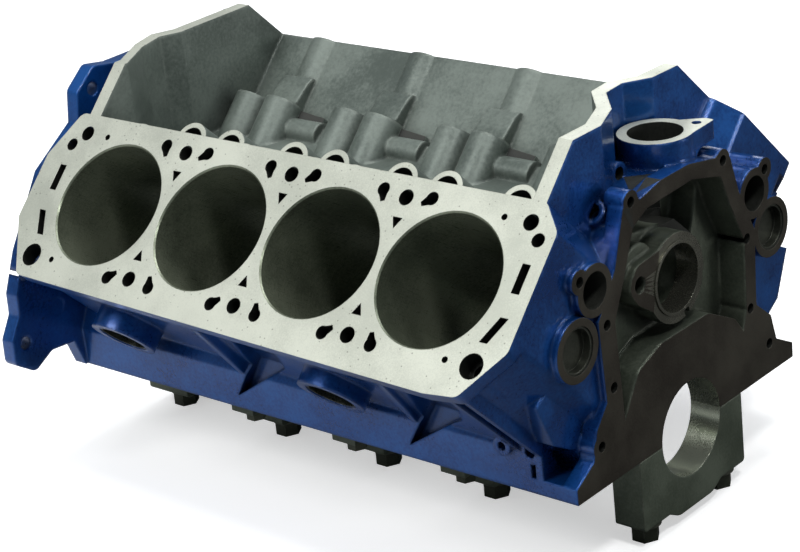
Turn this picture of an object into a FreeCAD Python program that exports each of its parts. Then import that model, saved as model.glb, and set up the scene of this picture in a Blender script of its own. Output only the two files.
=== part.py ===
import FreeCAD, Part
import math
import os
import re
import Sketcher
from FreeCAD import Placement, Rotation, Vector

# Cylinder block of a 90 degree V8 with its main caps, plugs, dowels and cam bearings.
# Frame: X along the crankshaft and forward, Y to the left bank, Z up. The origin is on the
# crankshaft axis in the front face. Lengths are in millimetres.
# Each bank has its own frame: "along" is X, "across" points from the bank's outer side to
# the valley, and "height" is measured from the crankshaft axis square to the deck.

doc = FreeCAD.newDocument("EngineBlock")
sheet = doc.addObject("Spreadsheet::Sheet", "sizes")

DRIVING_SIZES = {
    # cylinders
    "bore_diameter": 101.6,
    "bore_pitch": 111.25,
    "deck_height": 233.68,
    "bore_foot": 92,
    "right_first_bore": 85.6,
    "bank_stagger": 23.1,
    "bore_chamfer": 1.2,
    # banks
    "deck_outer": 76,
    "right_deck_inner": 70,
    "left_deck_inner": 66,
    "deck_plate": 13,
    "side_recess": 7,
    "jacket_foot": 110,
    "right_front_gap": 6,
    "right_rear_gap": 12.5,
    "corner_run": 26,
    "corner_drop": 37,
    "inner_corner_run": 18,
    "inner_corner_drop": 20,
    "column_radius": 19.5,
    "column_across": 51,
    "column_foot": 192,
    "corner_round": 8,
    # head bolts and dowels
    "head_bolt_across": 53.6,
    "head_bolt_radius": 6.2,
    "head_bolt_depth": 42,
    "dowel_hole_radius": 9.4,
    "dowel_hole_depth": 14,
    "dowel_hollow_radius": 6.9,
    # water and oil passages in the deck
    "passage_depth": 26,
    "passage_offset": 22.6,
    "passage_across": 56.5,
    "passage_radius": 5.2,
    "passage_point": 9.5,
    "steam_across": 34.5,
    "steam_radius": 3.4,
    "end_slot_reach": 66,
    "end_slot_radius": 3.4,
    "oil_feed_radius": 2.4,
    # crankcase
    "block_length": 521,
    "rail_half": 139.65,
    "rail_inner": 127,
    "rail_thickness": 12,
    "skirt_inner": 132,
    "skirt_top": 31,
    "main_bore_diameter": 74.72,
    "front_web": 26,
    "second_main": 152.8,
    "web_thickness": 24,
    "rear_web": 46,
    "rear_bolt_row": 24,
    "rear_bearing_row": 34.45,
    "nose_back": 40,
    "nose_half": 112,
    # camshaft
    "cam_height": 118.7,
    "cam_bearing_outer": 28,
    "cam_bearing_inner": 25.6,
    "cam_bearing_width": 19,
    "cam_room": 33,
    "cam_flange_radius": 34,
    "cam_flange_back": 4.6,
    # main oil galleries
    "gallery_radius": 6.5,
    "gallery_across": 44,
    "gallery_rise": 11,
    "gallery_plug_depth": 12,
    # valley
    "shelf_height": 150,
    "shelf_across": 80,
    "valley_floor": 153,
    "valley_half": 34,
    "right_lifter_top": 177,
    "left_lifter_top": 163,
    "lifter_foot": 98,
    "lifter_radius": 11.11,
    "right_lifter_wall": 4.4,
    "left_lifter_wall": 6,
    "right_lifter_spacing": 43,
    "left_lifter_spacing": 34,
    "right_lifter_ahead": 16,
    "left_lifter_ahead": -10.5,
    "bracket_reach": 25,
    "ledge_radius": 11,
    "ledge_height": 143,
    "gusset_run": 34,
    # end walls that close the valley
    "wall_top": 248,
    "wall_thickness": 12,
    "wall_root": 51,
    "front_wall_right": 24,
    "front_wall_left": 49,
    "rear_wall_right": 482,
    "rear_wall_left": 503,
    # front face
    "face_thickness": 13,
    "cavity_depth": 24,
    "cavity_deep": 46,
    "main_round": 87,
    "cover_bolt_radius": 4,
    "cover_bolt_depth": 24,
    "cover_lobe_radius": 8.5,
    "rail_boss_radius": 9.5,
    "rail_boss_length": 28,
    "side_lug_radius": 9.5,
    "side_lug_hole": 4.5,
    "pump_port_radius": 13.5,
    "pump_port_wall": 6,
    "front_plug_radius": 17.5,
    "front_plug_wall": 6,
    "front_plug_depth": 9,
    # distributor pad
    "distributor_back": 34,
    "distributor_side": 26,
    "distributor_top": 217.5,
    "distributor_outer": 28,
    "distributor_bore": 20.5,
    "distributor_ear": 39,
    # bell housing flange
    "bell_thickness": 13,
    "bell_bolt_radius": 5.6,
    # core plugs in the jacket sides
    "core_plug_height": 159,
    "core_plug_radius": 20,
    "core_pad_radius": 27,
    "core_pad_rise": 8,
    "fin_thickness": 6,
    "fin_slant": 47,
    "rear_fin": 337,
    "front_fin": 160,
    "corner_rib": 50,
    "scoop_floor": 128,
    "scoop_drop": 43,
    "core_plug_depth": 8,
    "plug_wall": 1.8,
    # main caps and their bolts
    "cap_half": 66,
    "cap_depth": 57,
    "cap_round": 63.5,
    "cap_shoulder": 12,
    "inner_bolt_across": 48,
    "outer_bolt_across": 82,
    "outer_ear_half": 97,
    "outer_ear_depth": 34,
    "cap_bolt_radius": 6,
    "cap_bolt_clear": 0.4,
    "cap_bolt_length": 118,
    "cap_bolt_flats": 19,
    "cap_bolt_head": 12,
    "washer_radius": 12.5,
    "washer_thickness": 3,
    "outer_bolt_radius": 4.8,
    "outer_bolt_length": 74,
    "outer_bolt_flats": 14.5,
    "outer_bolt_head": 8,
    "outer_washer_radius": 10,
    # plain dowels
    "bell_dowel_radius": 7.9,
    "bell_dowel_length": 24,
    "seat_gap": 0.02,
}
for row, (alias, number) in enumerate(DRIVING_SIZES.items(), start=1):
    sheet.set(f"A{row}", alias.replace("_", " "))
    sheet.set(f"B{row}", str(number))
    sheet.setAlias(f"B{row}", alias)
doc.recompute()

ALIAS = re.compile(r"\b(" + "|".join(DRIVING_SIZES) + r")\b")
RIGHT = -1
LEFT = 1
BANKS = {"right": RIGHT, "left": LEFT}
CYLINDERS_PER_BANK = 4
MAINS = 5
TURN = "0.70710678"  # sine and cosine of half the vee


def bound(text):
    """Expression with every alias read from the sheet."""
    return ALIAS.sub(r"sizes.\1", str(text))


def value(text):
    """Number that an expression has now."""
    return float(sheet.evalExpression(bound(text)))


def bind(thing, prop, text):
    thing.setExpression(prop, bound(text))


def polygon_sketch(body, name, plane, start, points):
    """Closed outline on one of the body's planes, each corner placed by two expressions."""
    sketch = body.newObject("Sketcher::SketchObject", name)
    support = [feature for feature in body.Origin.OriginFeatures if feature.Role == plane][0]
    sketch.AttachmentSupport = [(support, "")]
    sketch.MapMode = "FlatFace"
    bind(sketch, "AttachmentOffset.Base.z", start)
    corners = [Vector(value(across), value(up), 0) for across, up in points]
    count = len(corners)
    for index, corner in enumerate(corners):
        sketch.addGeometry(Part.LineSegment(corner, corners[(index + 1) % count]), False)
    for index in range(count):
        sketch.addConstraint(Sketcher.Constraint("Coincident", index, 2, (index + 1) % count, 1))
    for index, (across, up) in enumerate(points):
        for kind, text in (("DistanceX", across), ("DistanceY", up)):
            mark = sketch.addConstraint(Sketcher.Constraint(kind, -1, 1, index, 1, value(text)))
            sketch.setExpression(f"Constraints[{mark}]", bound(text))
    return sketch


def prism(name, plane, start, length, points, rounds=(), tilt=0):
    """Body with one pad: an outline on a plane at start, carried along its normal."""
    body = doc.addObject("PartDesign::Body", name)
    sketch = polygon_sketch(body, name + "_outline", plane, start, points)
    pad = body.newObject("PartDesign::Pad", name + "_pad")
    pad.Profile = sketch
    bind(pad, "Length", length)
    body.Placement = Placement(Vector(), Rotation(Vector(1, 0, 0), tilt))
    doc.recompute()
    for number, (radius, corners) in enumerate(rounds):
        sharp = body.Tip
        edges = upright_edges(sharp.Shape, [points[corner] for corner in corners], plane)
        fillet = body.newObject("PartDesign::Fillet", f"{name}_round_{number}")
        fillet.Base = (sharp, edges)
        bind(fillet, "Radius", radius)
        doc.recompute()
    return body


def upright_edges(shape, corners, plane):
    """Names of the pad's edges that stand on the given corners of its outline."""
    places = [(value(across), value(up)) for across, up in corners]
    pick = {"XY_Plane": (0, 1), "YZ_Plane": (1, 2), "XZ_Plane": (0, 2)}[plane]
    names = []
    for number, edge in enumerate(shape.Edges, start=1):
        first, last = edge.firstVertex().Point, edge.lastVertex().Point
        here = (first[pick[0]], first[pick[1]])
        there = (last[pick[0]], last[pick[1]])
        if math.dist(here, there) > 1e-6:
            continue
        if any(math.dist(here, place) < 1e-4 for place in places):
            names.append(f"Edge{number}")
    return names


def round_bar(name, radius, length, at, axis):
    """Cylinder from a point along a direction."""
    bar = doc.addObject("Part::Cylinder", name)
    bind(bar, "Radius", radius)
    bind(bar, "Height", length)
    return set_down(bar, at, axis)


def set_down(thing, at, axis):
    thing.Placement = Placement(Vector(), Rotation(Vector(0, 0, 1), Vector(*axis)))
    for letter, text in zip("xyz", at):
        bind(thing, f"Placement.Base.{letter}", text)
    return thing


def joined(name, things):
    fuse = doc.addObject("Part::MultiFuse", name)
    fuse.Shapes = things
    fuse.Refine = True
    return fuse


def minus(name, base, tool):
    cut = doc.addObject("Part::Cut", name)
    cut.Base = base
    cut.Tool = tool
    cut.Refine = True
    return cut


def shared(name, first, second):
    common = doc.addObject("Part::MultiCommon", name)
    common.Shapes = [first, second]
    return common


def bank_point(side, along, across, height):
    """Row position of a point given in a bank's own frame."""
    return (along, f"{side} * (({height}) - ({across})) * {TURN}", f"(({height}) + ({across})) * {TURN}")


def deck_axis(side):
    return (0, side * math.sqrt(0.5), math.sqrt(0.5))


def outward_axis(side):
    return (0, side * math.sqrt(0.5), -math.sqrt(0.5))


def away(axis):
    return tuple(-part for part in axis)


def bore_along(side, number):
    """Distance of a cylinder's axis along X, cylinder 0 at the front."""
    stagger = "0" if side == RIGHT else "bank_stagger"
    return f"-(right_first_bore + {stagger} + {number} * bore_pitch)"


# Banks: the jacket block of each under its deck plate, the columns and ledges on its valley
# side, and the fins and scoops on its outer side.

def bank_section(side, points):
    """Outline across the block from points given as (across, height) in a bank's frame."""
    return [(f"{side} * (({height}) - ({across})) * {TURN}", f"(({height}) + ({across})) * {TURN}")
            for across, height in points]


def valley_column(name, side, along):
    """Column up the valley wall, the bracket it ends on, and the ledge and gusset ahead of that."""
    wall = "(column_across - 4)"
    top = "right_lifter_top" if side == RIGHT else "left_lifter_top"
    column = round_bar(name, "column_radius", "deck_height - column_foot",
                       bank_point(side, along, "column_across", "column_foot"), deck_axis(side))
    bracket = prism(name + "_bracket", "YZ_Plane", f"{along} - column_radius", "1.6 * column_radius",
                    bank_section(side, [
                        (wall, "column_foot + 8"),
                        ("column_across + column_radius", "column_foot + 3"),
                        ("column_across + column_radius + 3", "column_foot - 3"),
                        (f"{wall} + bracket_reach + 6", f"{top} + 2"),
                        (f"{wall} + bracket_reach + 6", "lifter_foot + 30"),
                        (wall, "lifter_foot + 30"),
                    ]))
    ledge = round_bar(name + "_ledge", "ledge_radius", "gusset_run + 8",
                      bank_point(side, f"{along} + column_radius / 2 + 4", f"{wall} + bracket_reach + 6",
                                 "ledge_height"), (1, 0, 0))
    flip = 1 if side == RIGHT else -1
    gusset = prism(name + "_gusset", "XY_Plane", f"{top} - 10", "8", [
        (f"{along} + column_radius / 2", f"{flip} * ({wall})"),
        (f"{along} + column_radius / 2", f"{flip} * ({wall} + bracket_reach + 13)"),
        (f"{along} + column_radius / 2 + gusset_run", f"{flip} * ({wall} + bracket_reach)"),
        (f"{along} + column_radius / 2 + gusset_run", f"{flip} * ({wall})"),
    ], tilt=-45 * side)
    return [column, bracket, ledge, gusset]


SIDE_FINS = ("front_fin", "rear_fin")


def fin_foot(side, fin):
    """Distance along X of a side fin's foot."""
    return f"(-{fin})" if side == RIGHT else f"(-{fin} - bank_stagger)"


def side_fin(name, side, foot, top):
    """Fin on the outer side, from the pan rail at foot up to the deck plate at top."""
    slab = prism(name + "_slab", "XZ_Plane", "-deck_height", "2 * deck_height", [
        (foot, "rail_thickness / 2"),
        (f"{foot} + fin_thickness", "rail_thickness / 2"),
        (f"{top} + fin_thickness", "deck_height / 2 - 4"),
        (top, "deck_height / 2 - 4"),
    ])
    reach = prism(name + "_reach", "YZ_Plane", "-block_length", "block_length", [
        (f"{side} * (rail_half - 24)", "rail_thickness / 2"),
        (f"{side} * rail_half", "rail_thickness / 2"),
        (f"{side} * rail_half", "skirt_top"),
        (f"{side} * (deck_height + deck_outer - deck_plate) * {TURN}",
         f"(deck_height - deck_outer - deck_plate) * {TURN}"),
        (f"{side} * (deck_height + deck_outer - deck_plate - 40) * {TURN}",
         f"(deck_height - deck_outer - deck_plate + 40) * {TURN}"),
    ])
    return shared(name, slab, reach)


def side_scoop(name, side, foot):
    """Hollow let into the jacket and skirt just ahead of a fin."""
    front = prism(name + "_front", "XZ_Plane", "-deck_height", "2 * deck_height", [
        (f"{foot} + fin_thickness", "rail_thickness - 2"),
        (f"{foot} + 1.6 * fin_slant", "scoop_drop + 11"),
        (f"{foot} + 2.2 * fin_slant", "scoop_drop + 48"),
        (f"{foot} + fin_slant + fin_thickness", "scoop_drop + 46"),
    ], rounds=[("7", (1, 2))])
    depth = prism(name + "_depth", "YZ_Plane", "-block_length", "block_length", [
        (f"{side} * scoop_floor", "1"),
        (f"{side} * scoop_floor", "scoop_drop"),
        (f"{side} * (scoop_floor + 52)", "scoop_drop + 52"),
        (f"{side} * (scoop_floor + 120)", "scoop_drop + 52"),
        (f"{side} * (scoop_floor + 120)", "1"),
    ])
    return shared(name, front, depth)

def bank_outline(side, inset="0"):
    """Deck outline as (along, across), its outer edge drawn in by inset."""
    shift = "0" if side == RIGHT else "bank_stagger"
    inner = "right_deck_inner" if side == RIGHT else "left_deck_inner"
    outer = f"(deck_outer - {inset})"
    front = f"-right_front_gap - {shift}"
    rear = "right_rear_gap - block_length" if side == RIGHT else "-block_length"
    flip = 1 if side == RIGHT else -1
    outline = [
        (front, f"{inner} - inner_corner_drop"),
        (f"{front} - inner_corner_run", inner),
        (f"{rear} + inner_corner_run", inner),
        (rear, f"{inner} - 2 * inner_corner_drop"),
        (rear, f"-{outer} / 3"),
        (f"{rear} + corner_run", f"4 - {outer}"),
        (f"{front} - corner_run - bore_pitch / 4", f"-{outer} - 4"),
        (f"{front} - corner_run", f"-{outer} - 1"),
        (front, f"corner_drop - {outer}"),
    ]
    return [(along, f"{flip} * ({across})") for along, across in outline]


def bank(name, side):
    """One bank's casting above the crankcase."""
    parts = [prism(name + "_bank", "XY_Plane", "jacket_foot", "deck_height - deck_plate - jacket_foot + 1",
                   bank_outline(side, "side_recess"), rounds=[("corner_round", range(9))], tilt=-45 * side),
             prism(name + "_deck_plate", "XY_Plane", "deck_height - deck_plate", "deck_plate",
                   bank_outline(side), rounds=[("corner_round", range(9))], tilt=-45 * side)]
    for number in range(1, CYLINDERS_PER_BANK):
        parts += valley_column(f"{name}_column_{number}", side, bore_along(side, number))
    for fin in SIDE_FINS:
        foot = fin_foot(side, fin)
        parts.append(side_fin(f"{name}_{fin}_blade", side, foot, f"{foot} + fin_slant"))
    for number, ahead in enumerate(("corner_rib", "corner_rib - 3 * fin_thickness")):
        corner = f"{bore_along(side, 0)} + {ahead}"
        parts.append(side_fin(f"{name}_corner_rib_{number}", side, corner, corner))
    for number in range(CYLINDERS_PER_BANK):
        if number % 2:
            parts.append(round_bar(f"{name}_core_pad_{number}", "core_pad_radius",
                                   "deck_outer / 2 + core_pad_rise",
                                   bank_point(side, bore_along(side, number), "-deck_outer / 2",
                                              "core_plug_height"),
                                   outward_axis(side)))
    return parts


# Crankcase, valley shelf and the walls that close the valley's ends.

def mirrored(points, middle=()):
    """Outline symmetric about the vertical plane, from the points of its left half."""
    right_half = [(f"-({across})", up) for across, up in reversed(points)]
    return list(points) + list(middle) + right_half


def crankcase():
    """Skirts, nose and pan rail below the banks, and the shelf that carries the lifters."""
    parts = [prism("skirt", "YZ_Plane", "-block_length", "block_length - nose_back", mirrored([
        ("rail_half", "0"),
        ("rail_half", "skirt_top"),
        ("rail_half - 38", "skirt_top + 80"),
    ], [("0", "valley_floor - 4")]))]
    parts.append(prism("nose", "YZ_Plane", "-nose_back - 1", "nose_back - right_front_gap", mirrored([
        ("nose_half", "0"),
        ("nose_half", "skirt_top"),
        ("nose_half - 16", "skirt_top + 70"),
    ], [("0", "valley_floor - 4")])))
    parts.append(prism("pan_rail", "XY_Plane", "0", "rail_thickness", [
        ("0", "rail_half"),
        ("-block_length", "rail_half"),
        ("-block_length", "-rail_half"),
        ("0", "-rail_half"),
    ]))
    shelf_y = f"(shelf_height - shelf_across) * {TURN}"
    shelf_z = f"(shelf_height + shelf_across) * {TURN}"
    parts.append(prism("valley_shelf", "YZ_Plane", "-block_length", "block_length - 20", mirrored([
        ("skirt_top + 69", "skirt_top + 69"),
        (f"{shelf_y} + 21", f"{shelf_z} - 21"),
        (shelf_y, shelf_z),
        ("valley_half", "valley_floor"),
    ])))
    for name, side in BANKS.items():
        for number, along in enumerate(lifter_rows(name, side)):
            parts.append(round_bar(f"{name}_lifter_lug_{number}", f"lifter_radius + {name}_lifter_wall",
                                   f"{name}_lifter_top - shelf_height + 46",
                                   bank_point(side, along, f"cam_height * {TURN}", "shelf_height - 46"),
                                   deck_axis(side)))
    return parts


def lifter_rows(name, side):
    """Distance along X of each lifter bore of one bank."""
    rows = []
    for number in range(CYLINDERS_PER_BANK):
        for half in ("+", "-"):
            rows.append(f"{bore_along(side, number)} + {name}_lifter_ahead {half} {name}_lifter_spacing / 2")
    return rows


def end_wall(name, line):
    """Wall across the valley: its plan steps from bank to bank, its top follows both decks."""
    plan = prism(name + "_plan", "XY_Plane", "jacket_foot", "wall_top - jacket_foot", line)
    slope_y = f"(deck_height - wall_root) * {TURN}"
    slope_z = f"(deck_height + wall_root) * {TURN}"
    peak_y = f"deck_height / {TURN} - wall_top"
    profile = prism(name + "_profile", "YZ_Plane", "-block_length - 1", "block_length + 2", mirrored([
        (slope_y, "jacket_foot + 40"),
        (slope_y, slope_z),
        (peak_y, "wall_top"),
    ]))
    return shared(name, plan, profile)


def end_walls():
    front = end_wall("front_end_wall", [
        ("-front_wall_right", "-deck_height / 2 - 20"),
        ("-front_wall_right", "-50"),
        ("-front_wall_right - 14", "-18"),
        ("-front_wall_left - 14", "10"),
        ("-front_wall_left - 16", "32"),
        ("-front_wall_left - 3", "52"),
        ("-front_wall_left", "deck_height / 2 + 20"),
        ("-front_wall_left - wall_thickness", "deck_height / 2 + 20"),
        ("-front_wall_left - wall_thickness - 3", "50"),
        ("-front_wall_left - wall_thickness - 16", "30"),
        ("-front_wall_left - wall_thickness - 14", "8"),
        ("-front_wall_right - wall_thickness - 14", "-20"),
        ("-front_wall_right - wall_thickness", "-52"),
        ("-front_wall_right - wall_thickness", "-deck_height / 2 - 20"),
    ])
    rear = end_wall("rear_end_wall", [
        ("-rear_wall_right", "-deck_height / 2 - 20"),
        ("-rear_wall_right", "-76"),
        ("-rear_wall_left", "-40"),
        ("-rear_wall_left - 8", "-14"),
        ("-rear_wall_left", "4"),
        ("-rear_wall_left", "deck_height / 2 + 20"),
        ("wall_thickness - rear_wall_left", "deck_height / 2 + 20"),
        ("wall_thickness - rear_wall_left", "2"),
        ("wall_thickness - rear_wall_left - 8", "-16"),
        ("wall_thickness - rear_wall_left", "-44"),
        ("wall_thickness - rear_wall_right", "-80"),
        ("wall_thickness - rear_wall_right", "-deck_height / 2 - 20"),
    ])
    return [front, rear]


# Front of the block: the platform under the distributor, the cover face and the pump pads.

COVER_BOLTS = [("-91.5", "cam_height"), ("85", "cam_height"), ("-89", "70"), ("85", "62"),
               ("-54.5", "197"), ("59.5", "189")]


def front_end():
    parts = [prism("front_platform", "YZ_Plane", "-front_wall_left - 18", "front_wall_left + 10", [
        ("-100", "60"),
        ("100", "60"),
        ("92", "120"),
        ("76", "172"),
        ("52", "190"),
        ("0", "198"),
        ("-46", "196"),
        ("-70", "176"),
        ("-96", "120"),
    ], rounds=[("corner_round", (4, 6, 7))])]
    parts.append(prism("front_face", "YZ_Plane", "-face_thickness", "face_thickness", [
        ("-rail_half", "0"),
        ("rail_half", "0"),
        ("rail_half", "rail_thickness"),
        ("nose_half + 6", "rail_thickness + 12"),
        ("nose_half", "46"),
        ("93", "62"),
        ("96", "122"),
        ("78", "158"),
        ("69", "188"),
        ("60", "198"),
        ("50", "194"),
        ("17", "200.6"),
        ("-17", "200.6"),
        ("-44", "195"),
        ("-48", "201"),
        ("-57", "204"),
        ("-64", "195"),
        ("-78", "155"),
        ("-101", "124"),
        ("-98", "62"),
        ("-nose_half", "46"),
        ("-nose_half - 6", "rail_thickness + 12"),
        ("-rail_half", "rail_thickness"),
    ]))
    for name, across, up, radius in (
            ("right_pump_pad", "-102", "149", "pump_port_radius + pump_port_wall"),
            ("left_pump_pad", "98", "150", "pump_port_radius + pump_port_wall"),
            ("right_front_plug_pad", "-126", "113", "front_plug_radius + front_plug_wall"),
            ("left_front_plug_pad", "118", "116", "front_plug_radius + front_plug_wall"),
            ("right_pump_bolt_pad", "-118", "161", "9"),
            ("left_pump_bolt_pad", "113", "164", "9")):
        depth = "40" if across.startswith("-") else "60"
        parts.append(round_bar(name, radius, depth, (f"-{depth}", across, up), (1, 0, 0)))
    for number, (across, up) in enumerate(COVER_BOLTS):
        parts.append(round_bar(f"cover_lobe_{number + 1}", "cover_lobe_radius", "face_thickness + 4",
                               ("-face_thickness - 4", across, up), (1, 0, 0)))
    parts.append(round_bar("right_rail_boss", "rail_boss_radius", "rail_boss_length",
                           ("-rail_boss_length", "-108", "32"), (1, 0, 0)))
    parts.append(round_bar("left_rail_boss", "rail_boss_radius", "rail_boss_length + 8",
                           ("-rail_boss_length - 8", "108", "24"), (1, 0, 0)))
    parts.append(round_bar("front_sender_boss", "8.5", "30", ("-64", "-20", "201"), (1, 0, 0)))
    parts.append(round_bar("side_sender_boss", "10", "16", ("-26", "-54", "178"),
                           (0, -math.sqrt(0.5), math.sqrt(0.5))))
    for name, side in BANKS.items():
        parts.append(round_bar(name + "_side_lug", "side_lug_radius", "rail_half - nose_half + 14",
                               ("-nose_back", f"{side} * (nose_half - 14)", "skirt_top + 1"), (0, side, 0)))
        parts.append(round_bar(name + "_skirt_lug", "side_lug_radius - 2", "10",
                               ("-nose_back - 21", f"{side} * (rail_half - 5)", "skirt_top + 3"), (0, side, 0)))
        parts.append(prism(name + "_nose_web", "YZ_Plane", "-nose_back + 6", "nose_back - 20", [
            (f"{side} * (nose_half - 10)", "rail_thickness"),
            (f"{side} * (nose_half - 2)", "rail_thickness"),
            (f"{side} * (nose_half + 8)", "skirt_top"),
            (f"{side} * (rail_half + 4)", "skirt_top + 14"),
            (f"{side} * (rail_half + 20)", "skirt_top + 50"),
            (f"{side} * (nose_half - 10)", "skirt_top + 80"),
        ]))
    parts.append(round_bar("distributor_pad", "distributor_outer", "distributor_top - 170",
                           ("-distributor_back", "distributor_side", "170"), (0, 0, 1)))
    parts.append(prism("distributor_ear", "XY_Plane", "distributor_top - 14", "14", [
        ("-distributor_back + 2", "distributor_side + 28"),
        ("-distributor_back + 17", "distributor_side + distributor_ear"),
        ("-distributor_back + 25", "distributor_side + distributor_ear"),
        ("-distributor_back + 27", "distributor_side + 6"),
        ("-distributor_back", "distributor_side"),
    ], rounds=[("3", (1, 2))]))
    return parts


def rear_end():
    """Bell housing flange with its ears, and the cone of wall that carries it."""
    parts = [prism("bell_flange", "YZ_Plane", "-block_length", "bell_thickness", mirrored([
        ("rail_half - 10", "0"),
        ("rail_half + 2", "0"),
        ("150", "24"),
        ("174", "26"),
        ("194", "15"),
        ("213", "28"),
        ("212", "48"),
        ("201", "66"),
        ("200", "84"),
        ("186", "116"),
        ("150", "172"),
        ("108", "200"),
        ("104", "226"),
        ("84", "242"),
        ("62", "238"),
    ]), rounds=[("7", (3, 4, 5, 6, 7, 12, 13, 16, 17, 22, 23, 24, 25, 26))])]
    return parts


# Hollows of the casting.

def bank_hole(name, side, radius, depth, along, across):
    """Round hole square into a deck."""
    return round_bar(name, radius, f"{depth} + 1",
                     bank_point(side, along, across, f"deck_height - {depth}"), deck_axis(side))


def bank_pocket(name, side, points, depth="passage_depth"):
    """Pocket of any outline, given as (along, across), square into a deck."""
    flip = 1 if side == RIGHT else -1
    outline = [(along, f"{flip} * ({across})") for along, across in points]
    return prism(name, "XY_Plane", f"deck_height - {depth}", f"{depth} + 1", outline, tilt=-45 * side)


def drop_passage(name, side, along, across, run, drop):
    """Drop shaped water passage: a round end at the point given and a narrow end offset from it."""
    span = f"passage_radius * {0.92}"
    tip = "passage_radius / 3"
    outline = [
        (f"{along} + {span} * {-drop}", f"{across} + {span} * {run}"),
        (f"{along} + {span} * {drop}", f"{across} - {span} * {run}"),
        (f"{along} + passage_point * {run} + {tip} * {drop}", f"{across} + passage_point * {drop} - {tip} * {run}"),
        (f"{along} + passage_point * {run} - {tip} * {drop}", f"{across} + passage_point * {drop} + {tip} * {run}"),
    ]
    return [bank_hole(name + "_round", side, "passage_radius", "passage_depth", along, across),
            bank_pocket(name, side, outline)]


def deck_passages(name, side):
    """Head bolt holes with the water passages round them, and the patterns at both deck ends."""
    tools = []
    for number in range(1, CYLINDERS_PER_BANK):
        middle = f"({bore_along(side, number)} + bore_pitch / 2)"
        for edge, sign in (("inner", 1), ("outer", -1)):
            tag = f"{name}_{edge}_{number}"
            tools.append(bank_hole(tag + "_bolt_hole", side, "head_bolt_radius", "head_bolt_depth",
                                   middle, f"{sign} * head_bolt_across"))
            tools += drop_passage(tag + "_rear_passage", side, f"{middle} - passage_offset",
                                  f"{sign} * passage_across", 0.35 if sign > 0 else 0.8,
                                  -0.94 * sign if sign > 0 else 0.6)
            tools += drop_passage(tag + "_front_passage", side, f"{middle} + passage_offset",
                                  f"{sign} * passage_across", -0.8 if sign > 0 else -0.3,
                                  -0.6 if sign > 0 else 0.95)
            tools.append(bank_pocket(tag + "_steam_passage", side, [
                (f"{middle} - steam_radius * 1.3", f"{sign} * (steam_across + steam_radius)"),
                (f"{middle} + steam_radius * 1.3", f"{sign} * (steam_across + steam_radius)"),
                (middle, f"{sign} * (steam_across - steam_radius * 1.6)"),
            ]))
    for end, sign, number in (("front", 1, 0), ("rear", -1, CYLINDERS_PER_BANK - 1)):
        last = bore_along(side, number)
        tag = f"{name}_{end}"
        column = f"({last} + {sign} * bore_pitch / 2)"
        tools.append(bank_hole(tag + "_inner_bolt_hole", side, "head_bolt_radius", "head_bolt_depth",
                               column, "head_bolt_across"))
        tools.append(bank_hole(tag + "_dowel_hole", side, "dowel_hole_radius", "dowel_hole_depth",
                               column, "-head_bolt_across"))
        tools.append(bank_hole(tag + "_outer_bolt_hole", side, "head_bolt_radius", "head_bolt_depth",
                               column, "-head_bolt_across"))
        tools.append(bank_hole(tag + "_corner_passage", side, "passage_radius", "passage_depth",
                               f"{last} + {sign} * (end_slot_reach + 1)", "head_bolt_across - 11.5"))
        for mark, across in (("inner", "head_bolt_across"), ("outer", "-head_bolt_across")):
            tools.append(bank_hole(f"{tag}_{mark}_oil_hole", side, "oil_feed_radius", "passage_depth",
                                   f"{last} + {sign} * (bore_pitch / 2 - 23)", across))
        for mark, low, high, lean in (("upper", "2", "24", "0"), ("lower", "-36", "-16", "9")):
            reach = f"{last} + {sign} * end_slot_reach"
            tools.append(bank_pocket(f"{tag}_{mark}_slot", side, [
                (f"{reach} - end_slot_radius - {sign} * {lean}", low),
                (f"{reach} + end_slot_radius - {sign} * {lean}", low),
                (f"{reach} + end_slot_radius", high),
                (f"{reach} - end_slot_radius", high),
            ]))
    return tools


def cylinder_bores(name, side):
    tools = []
    for number in range(CYLINDERS_PER_BANK):
        along = bore_along(side, number)
        tools.append(round_bar(f"{name}_bore_{number + 1}", "bore_diameter / 2",
                               "deck_height - bore_foot + 40",
                               bank_point(side, along, "0", "bore_foot"), deck_axis(side)))
        lead = doc.addObject("Part::Cone", f"{name}_bore_lead_{number + 1}")
        bind(lead, "Radius1", "bore_diameter / 2")
        bind(lead, "Radius2", "bore_diameter / 2 + bore_chamfer + 1")
        bind(lead, "Height", "bore_chamfer + 1")
        tools.append(set_down(lead, bank_point(side, along, "0", "deck_height - bore_chamfer"),
                              deck_axis(side)))
        if number % 2:
            tools.append(round_bar(f"{name}_core_seat_{number}", "core_plug_radius",
                                   "core_plug_depth + 4",
                                   bank_point(side, along, "core_plug_depth - deck_outer - core_pad_rise",
                                              "core_plug_height"), outward_axis(side)))
    for fin in SIDE_FINS:
        tools.append(side_scoop(f"{name}_{fin}_scoop", side, fin_foot(side, fin)))
    for number, along in enumerate(lifter_rows(name, side)):
        tools.append(round_bar(f"{name}_lifter_bore_{number}", "lifter_radius",
                               f"{name}_lifter_top - lifter_foot + 4",
                               bank_point(side, along, f"cam_height * {TURN}", "lifter_foot"),
                               deck_axis(side)))
    return tools


def main_along(number):
    """Middle of a main bearing web along X, web 1 at the front."""
    if number == 1:
        return "-front_web / 2"
    if number == MAINS:
        return "rear_bearing_row - block_length"
    return f"-(second_main + {number - 2} * bore_pitch)"


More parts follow.
